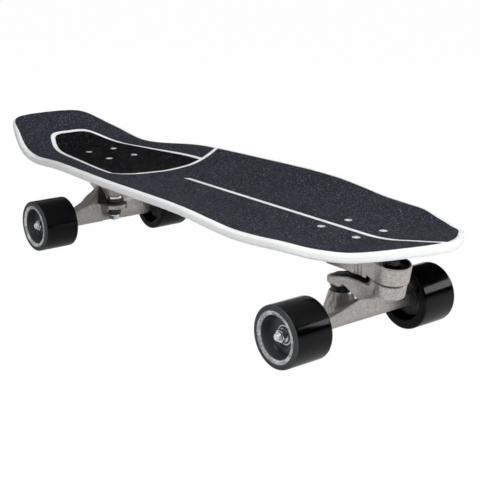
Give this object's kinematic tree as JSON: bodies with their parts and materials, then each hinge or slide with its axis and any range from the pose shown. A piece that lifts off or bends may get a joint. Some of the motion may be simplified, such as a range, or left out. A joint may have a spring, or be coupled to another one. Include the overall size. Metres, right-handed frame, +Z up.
{
  "type": "surf skateboard",
  "caption": "Squash-tailed surf skateboard with a concave gripped deck, a swing-arm front truck, a plain rear truck and wide urethane wheels.",
  "frame": {"origin": "on the floor under the middle of the deck's length and width", "axes": "+X towards the nose, +Y to the rider's left, +Z up"},
  "size_m": [0.8156, 0.251, 0.1581],
  "materials": {
    "white_deck": "white lacquer over a maple laminate",
    "grip": "charcoal grit sheet",
    "pad_grip": "black grit sheet",
    "raw_casting": "tumbled raw casting",
    "zinc": "bright zinc plate",
    "bright_steel": "ground steel",
    "black_steel": "black oxide",
    "urethane": "glossy black urethane",
    "wheel_core": "black moulded core",
    "bushing_rubber": "black urethane"
  },
  "bodies": {
    "board": {"deck": "white_deck", "grip_front": "grip", "grip_tail": "grip", "grip_pad": "pad_grip", "front_deck_bolt_1": "zinc", "front_deck_bolt_2": "zinc", "front_deck_bolt_3": "zinc", "front_deck_bolt_4": "zinc", "rear_deck_bolt_1": "zinc", "rear_deck_bolt_2": "zinc", "rear_deck_bolt_3": "zinc", "rear_deck_bolt_4": "zinc", "front_base_plate": "raw_casting", "swing_pivot_bolt": "black_steel", "swing_pivot_nut": "black_steel", "swing_thrust_bearing": "bright_steel", "swing_return_spring": "bright_steel", "swing_spring_plunger": "bright_steel", "rear_base_plate": "raw_casting", "rear_pivot_cup": "bushing_rubber", "rear_kingpin": "black_steel", "rear_kingpin_nut": "zinc", "rear_upper_washer": "zinc", "rear_lower_washer": "zinc", "rear_upper_bushing": "bushing_rubber", "rear_lower_bushing": "bushing_rubber"},
    "swing_arm": {"front_swing_arm": "raw_casting", "front_pivot_cup": "bushing_rubber", "front_kingpin": "black_steel", "front_kingpin_nut": "zinc", "front_upper_washer": "zinc", "front_lower_washer": "zinc", "front_upper_bushing": "bushing_rubber", "front_lower_bushing": "bushing_rubber"},
    "front_steering": {"front_hanger": "raw_casting", "front_axle": "zinc", "front_left_axle_nut": "zinc", "front_right_axle_nut": "zinc"},
    "rear_steering": {"rear_hanger": "raw_casting", "rear_axle": "zinc", "rear_left_axle_nut": "zinc", "rear_right_axle_nut": "zinc"},
    "front_left_wheel": {"front_left_tyre": "urethane", "front_left_core": "wheel_core", "front_left_outer_bearing": "bright_steel", "front_left_inner_bearing": "bright_steel"},
    "front_right_wheel": {"front_right_tyre": "urethane", "front_right_core": "wheel_core", "front_right_outer_bearing": "bright_steel", "front_right_inner_bearing": "bright_steel"},
    "rear_left_wheel": {"rear_left_tyre": "urethane", "rear_left_core": "wheel_core", "rear_left_outer_bearing": "bright_steel", "rear_left_inner_bearing": "bright_steel"},
    "rear_right_wheel": {"rear_right_tyre": "urethane", "rear_right_core": "wheel_core", "rear_right_outer_bearing": "bright_steel", "rear_right_inner_bearing": "bright_steel"}
  },
  "joints": [
    {"name": "arm_swing", "type": "hinge", "parent": "board", "child": "swing_arm", "pos_m": [0.32605, 0, 0.0863], "axis": [0.1564, 0, 0.9877], "range_deg": [-25, 25], "stiffness_Nm_per_rad": 12},
    {"name": "front_lean", "type": "hinge", "parent": "swing_arm", "child": "front_steering", "pos_m": [0.30605, 0, 0.0685], "axis": [0.9158, 0, 0.4017], "range_deg": [-12, 12], "stiffness_Nm_per_rad": 30, "deforming": ["front_upper_bushing", "front_lower_bushing"]},
    {"name": "rear_lean", "type": "hinge", "parent": "board", "child": "rear_steering", "pos_m": [-0.25225, 0, 0.072], "axis": [-0.8253, 0, 0.5647], "range_deg": [-12, 12], "stiffness_Nm_per_rad": 30, "deforming": ["rear_upper_bushing", "rear_lower_bushing"]},
    {"name": "front_left_roll", "type": "hinge", "parent": "front_steering", "child": "front_left_wheel", "pos_m": [0.28315, 0.0961, 0.035], "axis": [0, 1, 0], "continuous": true},
    {"name": "front_right_roll", "type": "hinge", "parent": "front_steering", "child": "front_right_wheel", "pos_m": [0.28315, -0.0961, 0.035], "axis": [0, 1, 0], "continuous": true},
    {"name": "rear_left_roll", "type": "hinge", "parent": "rear_steering", "child": "rear_left_wheel", "pos_m": [-0.22965, 0.0961, 0.035], "axis": [0, 1, 0], "continuous": true},
    {"name": "rear_right_roll", "type": "hinge", "parent": "rear_steering", "child": "rear_right_wheel", "pos_m": [-0.22965, -0.0961, 0.035], "axis": [0, 1, 0], "continuous": true}
  ]
}
